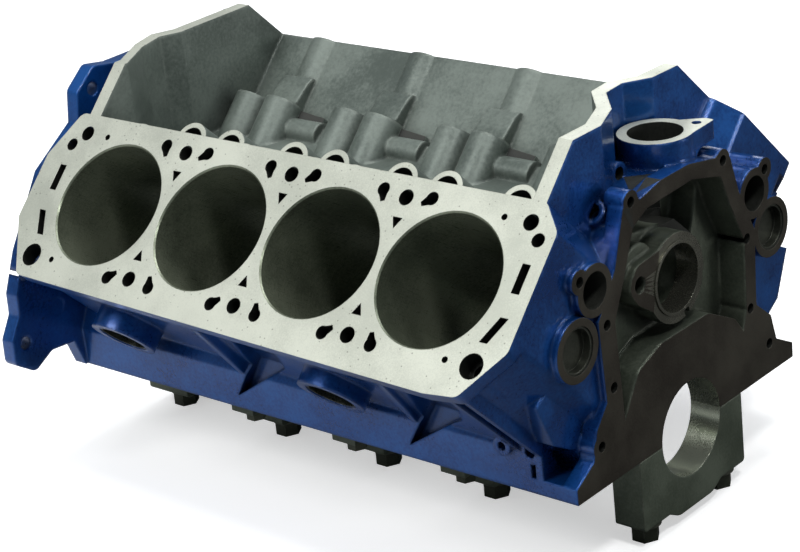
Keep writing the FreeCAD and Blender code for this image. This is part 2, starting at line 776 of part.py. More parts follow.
def crank_bays():
    """Room for each crank throw and the cam above it, between one web and the next."""
    tools = []
    roof_low = f"bore_foot / {TURN} + 5 - skirt_inner"
    for number in range(1, MAINS):
        rear = f"({main_along(number + 1)} + web_thickness / 2)"
        front = "-nose_back - 6" if number == 1 else f"({main_along(number)} - web_thickness / 2)"
        tools.append(prism(f"crank_bay_{number}", "YZ_Plane", rear, f"{front} - {rear}", mirrored([
            ("rail_inner", "-1"),
            ("rail_inner", roof_low),
            ("cam_room", f"bore_foot / {TURN} + 5 - cam_room"),
        ])))
        cam_front = "-front_web - 12" if number == 1 else front
        tools.append(prism(f"cam_bay_{number}", "YZ_Plane", rear, f"{cam_front} - {rear}", mirrored([
            ("cam_room - 1", "cam_height - 34"),
            ("cam_room", "cam_height + 12"),
            ("cam_room - 12", "valley_floor - 5"),
        ])))
    tools.append(prism("nose_bay", "YZ_Plane", "-nose_back - 8", "nose_back + 8 - front_web", mirrored([
        ("nose_half - 9", "-1"),
        ("nose_half - 9", "skirt_top"),
        ("cam_room", "cam_height - 30"),
    ])))
    return tools


def tunnels():
    tools = [round_bar("main_tunnel", "main_bore_diameter / 2", "block_length + 2",
                       ("-block_length - 1", "0", "0"), (1, 0, 0)),
             round_bar("cam_tunnel", "cam_bearing_outer", "block_length + 2",
                       ("-block_length - 1", "0", "cam_height"), (1, 0, 0))]
    for name, side in BANKS.items():
        tools.append(round_bar(name + "_gallery", "gallery_radius", "block_length - 30",
                               ("-block_length - 1", f"{side} * gallery_across",
                                "cam_height + gallery_rise"), (1, 0, 0)))
    tools.append(prism("oil_drain", "XY_Plane", "cam_height + 10", "40", [
        ("-150", "9"),
        ("-218", "9"),
        ("-218", "-9"),
        ("-150", "-9"),
    ]))
    tools.append(prism("rear_oil_drain", "XY_Plane", "cam_height + 10", "40", [
        ("-380", "9"),
        ("-448", "9"),
        ("-448", "-9"),
        ("-380", "-9"),
    ]))
    return tools


def front_hollows():
    """Timing cavity behind the cover face, less the round land over the main bore."""
    cavity = prism("timing_cavity", "YZ_Plane", "-cavity_depth", "cavity_depth + 1", [
        ("-79", "36"),
        ("70", "36"),
        ("80", "62"),
        ("82", "118"),
        ("66", "152"),
        ("56", "178"),
        ("20", "188"),
        ("-36", "186"),
        ("-54", "178"),
        ("-68", "146"),
        ("-82", "118"),
    ], rounds=[("6", (2, 3, 5, 6, 7, 8, 10))])
    land = prism("main_land", "YZ_Plane", "-cavity_depth - 1", "cavity_depth + 2", [
        ("-79", "0"),
        ("-79", "40"),
        ("-59", "70"),
        ("-30", "80"),
        ("30", "80"),
        ("64", "62"),
        ("84", "34"),
        ("84", "0"),
    ], rounds=[("14", (2, 3, 4, 5))])
    flange = round_bar("cam_flange", "cam_flange_radius", "cavity_depth + 1 - cam_flange_back",
                       ("-cavity_depth - 1", "0", "cam_height"), (1, 0, 0))
    ear = prism("cam_flange_ear", "YZ_Plane", "-cavity_depth - 1", "cavity_depth + 1 - cam_flange_back", [
        ("0", "cam_height + 30"),
        ("-46", "cam_height + 26"),
        ("-58", "cam_height + 12"),
        ("-48", "cam_height - 3"),
        ("-24", "cam_height - 20"),
    ], rounds=[("11", (1, 2)), ("6", (3,))])
    tower = round_bar("gallery_tower", "18", "cavity_depth + 1 - 12",
                      ("-cavity_depth - 1", "-36", "cam_height + 20"), (1, 0, 0))
    keep = joined("front_land", [land, flange, ear, tower])
    tools = [minus("timing_room", cavity, keep)]
    tools.append(prism("gear_room", "YZ_Plane", "-cavity_deep", "cavity_deep", [
        ("48", "cam_height + 14"),
        ("58", "164"),
        ("48", "180"),
        ("-34", "178"),
        ("-30", "cam_height + 40"),
        ("26", "cam_height + 34"),
    ], rounds=[("6", (1, 2, 3))]))
    for number, (across, up) in enumerate(COVER_BOLTS):
        tools.append(round_bar(f"cover_bolt_hole_{number + 1}", "cover_bolt_radius", "cover_bolt_depth + 1",
                               ("-cover_bolt_depth", across, up), (1, 0, 0)))
    for number, (across, up) in enumerate([("-16.5", "cam_height + 33"), ("35", "cam_height - 9"),
                                           ("10", "cam_height - 30")]):
        tools.append(round_bar(f"retainer_hole_{number + 1}", "3.3", "cavity_depth",
                               ("-cavity_depth", across, up), (1, 0, 0)))
    tools.append(round_bar("front_gallery_hole", "gallery_radius", "cavity_depth",
                           ("-cavity_depth", "-gallery_across", "cam_height + gallery_rise"), (1, 0, 0)))
    for name, across, up, radius, depth in (
            ("right_pump_port", "-102", "149", "pump_port_radius", "36"),
            ("left_pump_port", "98", "150", "pump_port_radius", "36"),
            ("right_plug_seat", "-126", "113", "front_plug_radius", "front_plug_depth"),
            ("left_plug_seat", "118", "116", "front_plug_radius", "front_plug_depth"),
            ("right_pump_bolt_hole", "-118", "161", "cover_bolt_radius", "cover_bolt_depth"),
            ("left_pump_bolt_hole", "113", "164", "cover_bolt_radius", "cover_bolt_depth"),
            ("right_rail_bolt_hole", "-108", "32", "cover_bolt_radius", "cover_bolt_depth"),
            ("left_rail_bolt_hole", "108", "24", "cover_bolt_radius", "cover_bolt_depth")):
        tools.append(round_bar(name, radius, f"{depth} + 1", (f"-{depth}", across, up), (1, 0, 0)))
    tools.append(round_bar("distributor_hole", "distributor_bore", "distributor_top - 150",
                           ("-distributor_back", "distributor_side", "151"), (0, 0, 1)))
    tools.append(round_bar("front_sender_hole", "5", "16", ("-49", "-20", "201"), (1, 0, 0)))
    tools.append(round_bar("side_sender_hole", "6", "14",
                           ("-26", f"-54 - 6 * {TURN}", f"178 + 6 * {TURN}"),
                           (0, -math.sqrt(0.5), math.sqrt(0.5))))
    for name, side in BANKS.items():
        tools.append(round_bar(name + "_side_lug_hole", "side_lug_hole", "22",
                               ("-nose_back", f"{side} * (rail_half - 21)", "skirt_top + 1"), (0, side, 0)))
        tools.append(round_bar(name + "_skirt_lug_hole", "side_lug_hole - 1", "12",
                               ("-nose_back - 21", f"{side} * (rail_half - 5)", "skirt_top + 3"), (0, side, 0)))
    tools.append(round_bar("distributor_clamp_hole", "3.6", "18",
                           ("16.8 - distributor_back", "distributor_side + 28", "distributor_top - 17"),
                           (0, 0, 1)))
    return tools


BELL_BOLTS = [("199", "42"), ("188", "98"), ("88", "224")]


def rear_hollows():
    tools = []
    for name, side in BANKS.items():
        for number, (across, up) in enumerate(BELL_BOLTS):
            tools.append(round_bar(f"{name}_bell_bolt_hole_{number + 1}", "bell_bolt_radius",
                                   "bell_thickness + 2",
                                   ("-block_length - 1", f"{side} * {across}", up), (1, 0, 0)))
        tools.append(round_bar(f"{name}_bell_dowel_hole", "bell_dowel_radius", "bell_dowel_length / 2 + 1",
                               ("-block_length - 1", f"{side} * 162", "60"), (1, 0, 0)))
    tools.append(round_bar("rear_cam_plug_seat", "cam_bearing_outer + 3", "13",
                           ("-block_length - 1", "0", "cam_height"), (1, 0, 0)))
    tools.append(round_bar("rear_seal_seat", "main_bore_diameter / 2 + 12", "14",
                           ("-block_length - 1", "0", "0"), (1, 0, 0)))
    return tools


RAIL_HOLES = ["12", "92", "180", "268", "356", "444", "508"]


def rail_holes():
    """Oil pan bolt holes up into both rails."""
    tools = []
    for name, side in BANKS.items():
        for number, back in enumerate(RAIL_HOLES):
            tools.append(round_bar(f"{name}_rail_hole_{number + 1}", "3.4", "rail_thickness - 2",
                                   (f"-{back}", f"{side} * (rail_half - 6.4)", "-1"), (0, 0, 1)))
    return tools


FOUR_BOLT_CAPS = (2, 3, 4)


def cap_bolt_along(number):
    return "rear_bolt_row - block_length" if number == MAINS else main_along(number)


def cap_bolt_holes(tag, top, bottom):
    """Clearance bars for every cap bolt between two heights."""
    tools = []
    for number in range(1, MAINS + 1):
        rows = [("inner", "inner_bolt_across", "cap_bolt_radius")]
        if number in FOUR_BOLT_CAPS:
            rows.append(("outer", "outer_bolt_across", "outer_bolt_radius"))
        for name, side in BANKS.items():
            for row, across, radius in rows:
                depth = top if row == "inner" else f"({top}) * 0.7"
                tools.append(round_bar(f"{tag}_{number}_{name}_{row}", f"{radius} + cap_bolt_clear",
                                       f"({depth}) + ({bottom})",
                                       (cap_bolt_along(number), f"{side} * {across}", f"-({bottom})"),
                                       (0, 0, 1)))
    return tools


# Loose pieces: caps, bolts, washers, plugs, dowels and bearings.

def main_cap(number):
    name = f"main_cap_{number}"
    if number == MAINS:
        start, length = "-block_length", "rear_web"
    elif number == 1:
        start, length = "-front_web", "front_web"
    else:
        start, length = f"{main_along(number)} - web_thickness / 2", "web_thickness"
    outline = [
        ("-cap_half", "0"),
        ("-cap_half", "-cap_depth"),
        ("-inner_bolt_across + cap_shoulder + 2", "-cap_depth"),
        ("-inner_bolt_across + cap_shoulder + 14", "-cap_round"),
        ("inner_bolt_across - cap_shoulder - 14", "-cap_round"),
        ("inner_bolt_across - cap_shoulder - 2", "-cap_depth"),
        ("cap_half", "-cap_depth"),
        ("cap_half", "0"),
    ]
    rounds = [("3", (1, 6)), ("16", (3, 4))]
    if number in FOUR_BOLT_CAPS:
        outline[1:1] = [("-outer_ear_half", "0"), ("-outer_ear_half", "-outer_ear_depth"),
                        ("-cap_half", "-outer_ear_depth")]
        outline[10:10] = [("cap_half", "-outer_ear_depth"), ("outer_ear_half", "-outer_ear_depth"),
                          ("outer_ear_half", "0")]
        outline = outline[1:-1]
        rounds = [("3", (3, 8)), ("16", (5, 6))]
    blank = prism(name + "_blank", "YZ_Plane", start, length, outline, rounds=rounds)
    return blank


def bolt_holes_of(number):
    return [tool for tool in cap_holes if tool.Name.startswith(f"cap_hole_{number}_")]


def hexagon(name, flats, height, at):
    """Hexagonal bolt head standing on a point, drawn from its distance across flats."""
    head = doc.addObject("Part::Prism", name)
    head.Polygon = 6
    bind(head, "Circumradius", f"({flats}) / {math.sqrt(3):.6f}")
    bind(head, "Height", height)
    return set_down(head, at, (0, 0, 1))


def cap_bolt(number, name, side, row):
    """Bolt and washer of a main cap, pointing up into the web."""
    tag = f"cap_{number}_{name}_{row}"
    inner = row == "inner"
    along = cap_bolt_along(number)
    across = f"{side} * {row}_bolt_across"
    radius = "cap_bolt_radius" if inner else "outer_bolt_radius"
    seat = "cap_depth" if inner else "outer_ear_depth"
    thick = "washer_thickness" if inner else "washer_thickness * 0.7"
    washer_radius = "washer_radius" if inner else "outer_washer_radius"
    head_height = "cap_bolt_head" if inner else "outer_bolt_head"
    flats = "cap_bolt_flats" if inner else "outer_bolt_flats"
    length = "cap_bolt_length" if inner else "outer_bolt_length"
    ring = round_bar(tag + "_ring", washer_radius, thick, (along, across, f"-({seat}) - ({thick})"), (0, 0, 1))
    hole = round_bar(tag + "_ring_hole", f"{radius} + cap_bolt_clear", f"({thick}) + 2",
                     (along, across, f"-({seat}) - ({thick}) - 1"), (0, 0, 1))
    washer = minus(f"{tag}_washer", ring, hole)
    under = f"-({seat}) - ({thick})"
    head = hexagon(tag + "_head", flats, head_height, (along, across, f"{under} - ({head_height})"))
    shank = round_bar(tag + "_shank", radius, length, (along, across, under), (0, 0, 1))
    bolt = joined(f"{tag}_bolt", [head, shank])
    return [bolt, washer]


def cup_plug(name, radius, depth, at, axis):
    """Pressed cup plug, open to the outside, seated at the bottom of its hole."""
    outer = round_bar(name + "_outer", f"({radius}) - seat_gap", depth, at, axis)
    inner = doc.addObject("Part::Cylinder", name + "_inner")
    bind(inner, "Radius", f"({radius}) - seat_gap - plug_wall")
    bind(inner, "Height", depth)
    lift = [f"({text}) + plug_wall * {part:.8f}" for text, part in zip(at, axis)]
    set_down(inner, lift, axis)
    return minus(name, outer, inner)


additions = bank("right", RIGHT) + bank("left", LEFT) + crankcase() + end_walls() + front_end() + rear_end()
casting = joined("casting", additions)
block_holes = cap_bolt_holes("block_hole", "cap_bolt_length - cap_depth + 4", "1")
hollows = (deck_passages("right", RIGHT) + deck_passages("left", LEFT) + cylinder_bores("right", RIGHT)
           + cylinder_bores("left", LEFT) + crank_bays() + tunnels() + front_hollows() + rear_hollows()
           + rail_holes() + block_holes)
hollow = joined("hollow", hollows)
hollow.Refine = False
kept = {"cylinder_block": minus("cylinder_block", casting, hollow)}

main_bar = round_bar("main_bore_bar", "main_bore_diameter / 2", "block_length + 2",
                     ("-block_length - 1", "0", "0"), (1, 0, 0))
seal_bar = round_bar("rear_seal_bar", "main_bore_diameter / 2 + 12", "14", ("-block_length - 1", "0", "0"),
                     (1, 0, 0))
cap_holes = cap_bolt_holes("cap_hole", "4", "cap_round + 10")
for number in range(1, MAINS + 1):
    tools = [main_bar] + bolt_holes_of(number)
    if number == MAINS:
        tools.append(seal_bar)
    name = f"main_cap_{number}"
    kept[name] = minus(name, main_cap(number), joined(name + "_tools", tools))
    rows = ["inner", "outer"] if number in FOUR_BOLT_CAPS else ["inner"]
    for row in rows:
        for side_name, side in BANKS.items():
            bolt, washer = cap_bolt(number, side_name, side, row)
            kept[bolt.Name] = bolt
            kept[washer.Name] = washer

for name, side in BANKS.items():
    for number in range(CYLINDERS_PER_BANK):
        if number % 2:
            kept_name = f"{name}_core_plug_{number // 2 + 1}"
            kept[kept_name] = cup_plug(kept_name, "core_plug_radius", "core_plug_depth - 1",
                                       bank_point(side, bore_along(side, number),
                                                  "core_plug_depth - deck_outer - core_pad_rise",
                                                  "core_plug_height"), outward_axis(side))
for name, across, up in (("right_front_core_plug", "-126", "113"), ("left_front_core_plug", "118", "116")):
    kept[name] = cup_plug(name, "front_plug_radius", "front_plug_depth - 1",
                          ("-front_plug_depth", across, up), (1, 0, 0))
for number in range(1, MAINS + 1):
    middle = f"{main_along(number)} - cam_bearing_width / 2"
    shell = round_bar(f"cam_bearing_{number}_shell", "cam_bearing_outer - seat_gap", "cam_bearing_width",
                      (middle, "0", "cam_height"), (1, 0, 0))
    room = round_bar(f"cam_bearing_{number}_bore", "cam_bearing_inner", "cam_bearing_width + 2",
                     (f"{middle} - 1", "0", "cam_height"), (1, 0, 0))
    kept[f"cam_bearing_{number}"] = minus(f"cam_bearing_{number}", shell, room)
for name, side in BANKS.items():
    plug = round_bar(f"{name}_plug_blank", "gallery_radius - seat_gap", "gallery_plug_depth",
                     ("1 - block_length", f"{side} * gallery_across", "cam_height + gallery_rise"), (1, 0, 0))
    socket = hexagon(f"{name}_plug_socket", "gallery_radius", "gallery_plug_depth / 2", ("0", "0", "0"))
    set_down(socket, ("0 - block_length", f"{side} * gallery_across", "cam_height + gallery_rise"), (1, 0, 0))
    kept[f"{name}_gallery_plug"] = minus(f"{name}_gallery_plug", plug, socket)
kept["rear_cam_plug"] = cup_plug("rear_cam_plug", "cam_bearing_outer + 3", "8",
                                 ("12 - block_length", "0", "cam_height"), (-1, 0, 0))

doc.recompute()
os.makedirs("parts", exist_ok=True)
for thing in doc.Objects:
    if "Invalid" in thing.State or "Error" in thing.State:
        raise RuntimeError(f"{thing.Name} failed: {thing.State}")
for name, thing in kept.items():
    thing.Label = name
    if thing.Shape.isNull() or not thing.Shape.isValid():
        raise RuntimeError(f"{name} has no valid shape")
    thing.Shape.exportStep(f"parts/{name}.step")
    print(name, len(thing.Shape.Solids), round(thing.Shape.Volume / 1000, 2))
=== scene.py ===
import math

import bpy
from mathutils import Matrix, Vector


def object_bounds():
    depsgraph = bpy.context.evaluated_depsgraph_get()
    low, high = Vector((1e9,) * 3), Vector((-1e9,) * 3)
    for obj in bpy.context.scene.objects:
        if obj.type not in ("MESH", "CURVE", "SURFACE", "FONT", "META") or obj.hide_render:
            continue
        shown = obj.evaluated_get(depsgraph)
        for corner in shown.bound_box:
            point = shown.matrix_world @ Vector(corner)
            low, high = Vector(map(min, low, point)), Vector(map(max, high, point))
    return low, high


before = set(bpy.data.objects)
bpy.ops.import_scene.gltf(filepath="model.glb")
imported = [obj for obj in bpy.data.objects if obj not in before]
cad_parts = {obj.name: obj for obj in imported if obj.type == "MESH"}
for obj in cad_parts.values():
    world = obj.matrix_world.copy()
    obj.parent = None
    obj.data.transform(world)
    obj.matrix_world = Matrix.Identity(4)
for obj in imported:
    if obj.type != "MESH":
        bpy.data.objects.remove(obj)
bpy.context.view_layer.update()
print("frame loaded:", len(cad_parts), "pieces")

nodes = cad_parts

# where the banks, bores, walls and faces of the casting lie, in metres; -1 is the right bank, 1 the left
blockLayout = {
    "deckHeight": 0.23368,
    "plateUnder": 0.2210,
    "boreRadius": 0.0508,
    "boreLip": 0.0022,
    "boreBottom": 0.070,
    "boreCount": 4,
    "boreStep": 0.11125,
    "firstBore": {-1: -0.0856, 1: -0.1087},
    "passageBottom": 0.150,
    "wallInset": 0.0092,
    "mainBore": 0.03736,
    "lifterTop": {-1: 0.177, 1: 0.163},
    "lifterAcross": 0.0839,
    "lifterInner": 0.066,
    "lifterBottom": 0.09,
    "lifterReach": (0.002, 0.0115),
    "wallTop": 0.2475,
    "wallHalf": 0.006,
    "padTop": 0.2170,
    "padBottom": 0.14,
    "distributor": (-0.034, 0.026, 0.0212),
    "rearFace": -0.521,
    "valleyFloor": 0.148,
    "valleyHalf": 0.1195,
    "cavityBack": -0.0475,
    "cavityFront": -0.0055,
    "camHeight": 0.1187,
    "ringRadius": 0.0345,
    "holeBack": -0.045,
    "crankHalf": 0.1275,
    "crankTop": 0.152,
    "crankFront": -0.050,
    "boreSlack": 0.0003,
    "holeSlack": 0.0004,
    "faceSlack": 0.0006,
    "cavitySlack": 0.0008,
    "deckFacing": 0.98,
    "wallFacing": 0.9,
}

# middle of each end wall of the valley, as (across, along)
frontWallLine = [(-0.050, -0.024), (-0.018, -0.038), (0.010, -0.063), (0.032, -0.065), (0.052, -0.052),
                 (0.060, -0.049)]
rearWallLine = [(-0.076, -0.482), (-0.040, -0.503), (-0.014, -0.511), (0.004, -0.503)]

# outline of each deck, as (along, across), drawn a little inside its edge
deckOutline = {
    -1: [(-0.0075, 0.049), (-0.025, 0.0685), (-0.489, 0.0685), (-0.507, 0.030), (-0.507, -0.024),
         (-0.482, -0.070), (-0.060, -0.0775), (-0.033, -0.0745), (-0.0078, -0.0375)],
    1: [(-0.0306, 0.045), (-0.048, 0.0645), (-0.502, 0.0645), (-0.5195, 0.026), (-0.5195, -0.024),
        (-0.4945, -0.070), (-0.083, -0.0775), (-0.056, -0.0745), (-0.0309, -0.0375)],
}

# outline of the timing cavity's walls, as (across, height)
cavityOutline = [(-0.079, 0.036), (0.070, 0.036), (0.080, 0.062), (0.082, 0.118), (0.056, 0.178), (0.020, 0.188),
                 (-0.036, 0.186), (-0.054, 0.178), (-0.082, 0.118)]

# ports, plug seats and bolt holes that open forwards: across, height and radius
frontHoles = [(-0.102, 0.149, 0.0135), (0.098, 0.150, 0.0135), (-0.126, 0.113, 0.0175), (0.118, 0.116, 0.0175),
              (-0.118, 0.161, 0.004), (0.113, 0.164, 0.004), (-0.108, 0.032, 0.004), (0.108, 0.024, 0.004),
              (-0.0915, 0.1187, 0.004), (0.085, 0.1187, 0.004), (-0.089, 0.070, 0.004), (0.085, 0.062, 0.004),
              (-0.0545, 0.197, 0.004), (0.0595, 0.189, 0.004), (-0.020, 0.201, 0.005)]


# camera
cameraPlace = {
    "eye": (0.91256, -1.27323, 0.77806),
    "azimuth": 42.9935,
    "elevation": 22.1550,
    "roll": -6.4661,
    "lens": 105.90,
}


def makeCamera():
    turn = math.radians(cameraPlace["azimuth"])
    drop = math.radians(cameraPlace["elevation"])
    roll = math.radians(cameraPlace["roll"])
    ahead = Vector((-math.sin(turn) * math.cos(drop), math.cos(turn) * math.cos(drop), -math.sin(drop)))
    level = ahead.cross(Vector((0, 0, 1))).normalized()
    side = level * math.cos(roll) + level.cross(ahead) * math.sin(roll)
    above = side.cross(ahead)
    data = bpy.data.cameras.new("studioCamera")
    data.lens = cameraPlace["lens"]
    data.sensor_width = 36
    data.clip_end = 20
    camera = bpy.data.objects.new("studioCamera", data)
    bpy.context.scene.collection.objects.link(camera)
    eye = cameraPlace["eye"]
    camera.matrix_world = Matrix((
        (side.x, above.x, -ahead.x, eye[0]),
        (side.y, above.y, -ahead.y, eye[1]),
        (side.z, above.z, -ahead.z, eye[2]),
        (0, 0, 0, 1)))
    bpy.context.scene.camera = camera


makeCamera()
print("camera set")


# node helpers
def newGroup(name, inputs, outputs):
    tree = bpy.data.node_groups.new(name, "ShaderNodeTree")
    for label, value in inputs:
        socket = tree.interface.new_socket(name=label, in_out="INPUT", socket_type="NodeSocketFloat")
        socket.default_value = value
    for label, kind in outputs:
        tree.interface.new_socket(name=label, in_out="OUTPUT", socket_type=kind)
    return tree, tree.nodes.new("NodeGroupInput"), tree.nodes.new("NodeGroupOutput")


def addNode(tree, kind, **settings):
    node = tree.nodes.new(kind)
    for key, value in settings.items():
        setattr(node, key, value)
    return node


def fill(tree, socket, value):
    if isinstance(value, bpy.types.NodeSocket):
        tree.links.new(value, socket)
    else:
        socket.default_value = value


def maths(tree, operation, first, second=0.0, third=0.0, clamp=False):
    node = addNode(tree, "ShaderNodeMath", operation=operation, use_clamp=clamp)
    for socket, value in zip(node.inputs, (first, second, third)):
        fill(tree, socket, value)
    return node.outputs[0]


def noise(tree, place, scale, detail=3.0, rough=0.55):
    node = addNode(tree, "ShaderNodeTexNoise")
    fill(tree, node.inputs["Vector"], place)
    fill(tree, node.inputs["Scale"], scale)
    node.inputs["Detail"].default_value = detail
    node.inputs["Roughness"].default_value = rough
    return node.outputs["Fac"]


def spread(tree, value, low, high, newLow=0.0, newHigh=1.0):
    node = addNode(tree, "ShaderNodeMapRange", interpolation_type="SMOOTHSTEP")
    for socket, number in zip(node.inputs, (value, low, high, newLow, newHigh)):
        fill(tree, socket, number)
    return node.outputs[0]


def blendColour(tree, factor, first, second):
    node = addNode(tree, "ShaderNodeMix", data_type="RGBA")
    fill(tree, node.inputs["Factor"], factor)
    colours = [socket for socket in node.inputs if socket.type == "RGBA"]
    for socket, value in zip(colours, (first, second)):
        if isinstance(value, bpy.types.NodeSocket):
            fill(tree, socket, value)
        else:
            socket.default_value = (*value, 1.0)
    return [socket for socket in node.outputs if socket.type == "RGBA"][0]


def tint(tree, mask, share, below, above):
    # lays one colour over another where the mask is, at no more than the given share
    return blendColour(tree, maths(tree, "MULTIPLY", mask, share), below, above)


# effects that several finishes share
def makeCastGrain():
    tree, entry, out = newGroup("castGrain",
                                [("Grain Scale", 700.0), ("Lump Scale", 60.0), ("Lumps", 0.5)],
                                [("Height", "NodeSocketFloat"), ("Tone", "NodeSocketFloat")])
    place = addNode(tree, "ShaderNodeNewGeometry").outputs["Position"]
    fine = noise(tree, place, entry.outputs["Grain Scale"], 4.0, 0.6)
    lumps = noise(tree, place, entry.outputs["Lump Scale"], 3.0, 0.5)
    share = maths(tree, "MULTIPLY", lumps, entry.outputs["Lumps"])
    height = maths(tree, "MULTIPLY_ADD", fine, 0.35, share)
    patch = noise(tree, place, 14.0, 4.0, 0.6)
    tone = maths(tree, "MULTIPLY_ADD", fine, 0.35, maths(tree, "MULTIPLY", patch, 0.65))
    tree.links.new(height, out.inputs["Height"])
    tree.links.new(tone, out.inputs["Tone"])
    return tree


def makeSoftEdge():
    tree, entry, out = newGroup("softEdge", [("Radius", 0.0015), ("Breakup", 90.0)],
                                [("Normal", "NodeSocketVector"), ("Edge", "NodeSocketFloat")])
    rounded = addNode(tree, "ShaderNodeBevel", samples=4)
    tree.links.new(entry.outputs["Radius"], rounded.inputs["Radius"])
    geometry = addNode(tree, "ShaderNodeNewGeometry")
    same = addNode(tree, "ShaderNodeVectorMath", operation="DOT_PRODUCT")
    tree.links.new(rounded.outputs[0], same.inputs[0])
    tree.links.new(geometry.outputs["Normal"], same.inputs[1])
    turned = spread(tree, same.outputs["Value"], 0.995, 0.90)
    uneven = noise(tree, geometry.outputs["Position"], entry.outputs["Breakup"], 4.0, 0.65)
    broken = spread(tree, uneven, 0.42, 0.62)
    tree.links.new(rounded.outputs[0], out.inputs["Normal"])
    tree.links.new(maths(tree, "MULTIPLY", turned, broken), out.inputs["Edge"])
    return tree


# painted shade: darkens hollows, corners and recesses by ambient occlusion, broken up by noise
def makePaintedShade():
    tree, entry, out = newGroup("paintedShade", [("Reach", 0.02)], [("Crevice Shade", "NodeSocketFloat")])
    hidden = addNode(tree, "ShaderNodeAmbientOcclusion", samples=8)
    tree.links.new(entry.outputs["Reach"], hidden.inputs["Distance"])
    place = addNode(tree, "ShaderNodeNewGeometry").outputs["Position"]
    uneven = noise(tree, place, 45.0, 3.0, 0.6)
    depth = maths(tree, "SUBTRACT", 1.0, hidden.outputs["AO"])
    patchy = spread(tree, uneven, 0.2, 0.7, 0.6, 1.0)
    tree.links.new(maths(tree, "MULTIPLY", depth, patchy, clamp=True), out.inputs["Crevice Shade"])
    return tree


def makeToolMarks():
    # fine parallel cutter lines along the block, with a slow change in strength
    tree, entry, out = newGroup("toolMarks", [("Pitch Scale", 900.0), ("Stretch", 0.04)],
                                [("Height", "NodeSocketFloat"), ("Streak", "NodeSocketFloat")])
    place = addNode(tree, "ShaderNodeNewGeometry").outputs["Position"]
    squash = addNode(tree, "ShaderNodeCombineXYZ")
    squash.inputs[0].default_value = 1.0
    tree.links.new(entry.outputs["Stretch"], squash.inputs[1])
    tree.links.new(entry.outputs["Stretch"], squash.inputs[2])
    stretched = addNode(tree, "ShaderNodeVectorMath", operation="MULTIPLY")
    tree.links.new(place, stretched.inputs[0])
    tree.links.new(squash.outputs[0], stretched.inputs[1])
    lines = noise(tree, stretched.outputs[0], entry.outputs["Pitch Scale"], 3.0, 0.7)
    patch = noise(tree, place, 22.0, 4.0, 0.62)
    tree.links.new(maths(tree, "MULTIPLY", lines, patch), out.inputs["Height"])
    streak = maths(tree, "MULTIPLY_ADD", lines, 0.4, maths(tree, "MULTIPLY", patch, 0.6))
    tree.links.new(streak, out.inputs["Streak"])
    return tree


def makeSpecks():
    # small sparse marks, such as pores in the iron or dust
    tree, entry, out = newGroup("specks", [("Scale", 220.0), ("Size", 0.16), ("Sparse", 0.55)],
                                [("Mask", "NodeSocketFloat")])
    place = addNode(tree, "ShaderNodeNewGeometry").outputs["Position"]
    cells = addNode(tree, "ShaderNodeTexVoronoi", feature="F1")
    tree.links.new(place, cells.inputs["Vector"])
    tree.links.new(entry.outputs["Scale"], cells.inputs["Scale"])
    dot = maths(tree, "LESS_THAN", cells.outputs["Distance"], entry.outputs["Size"])
    chosen = addNode(tree, "ShaderNodeSeparateColor")
    tree.links.new(cells.outputs["Color"], chosen.inputs[0])
    kept = maths(tree, "GREATER_THAN", chosen.outputs[0], entry.outputs["Sparse"])
    tree.links.new(maths(tree, "MULTIPLY", dot, kept), out.inputs["Mask"])
    return tree


effects = {
    "grain": makeCastGrain(),
    "edge": makeSoftEdge(),
    "paintedShade": makePaintedShade(),
    "marks": makeToolMarks(),
    "specks": makeSpecks(),
}
print("effects made:", ", ".join(sorted(effects)))


def newFinish(name):
    finish = bpy.data.materials.new(name)
    finish.use_nodes = True
    tree = finish.node_tree
    tree.nodes.clear()
    shader = tree.nodes.new("ShaderNodeBsdfPrincipled")
    out = tree.nodes.new("ShaderNodeOutputMaterial")
    tree.links.new(shader.outputs[0], out.inputs[0])
    return finish, tree, shader


def effect(tree, name, **values):
    node = tree.nodes.new("ShaderNodeGroup")
    node.node_tree = effects[name]
    for label, value in values.items():
        node.inputs[label.replace("_", " ")].default_value = value
    return node


def bump(tree, height, strength, distance, normal=None):
    node = addNode(tree, "ShaderNodeBump")
    node.inputs["Strength"].default_value = strength
    node.inputs["Distance"].default_value = distance
    tree.links.new(height, node.inputs["Height"])
    if normal is not None:
        tree.links.new(normal, node.inputs["Normal"])
    return node.outputs[0]


bluePaintLook = {
    "colour": (0.002, 0.040, 0.195),
    # the darkest blue is the colour of the painted shade in hollows and corners
    "shadeColour": (0.001, 0.007, 0.034),
    "lightColour": (0.007, 0.098, 0.370),
    "roughness": 0.27,
    "metal": 0.55,
    "coat": 0.60,
    "coatRoughness": 0.08,
    "roughnessSpread": 0.12,
    "grain": 0.40,
    "grainScale": 420.0,
    "lumpScale": 70.0,
    "lumps": 0.8,
    "edgeRadius": 0.0034,
    "breakup": 70.0,
    # the next two values set the painted shade in hollows and corners
    "shadeReach": 0.022,
    "paintedShade": 0.85,
    "wear": 0.35,
}


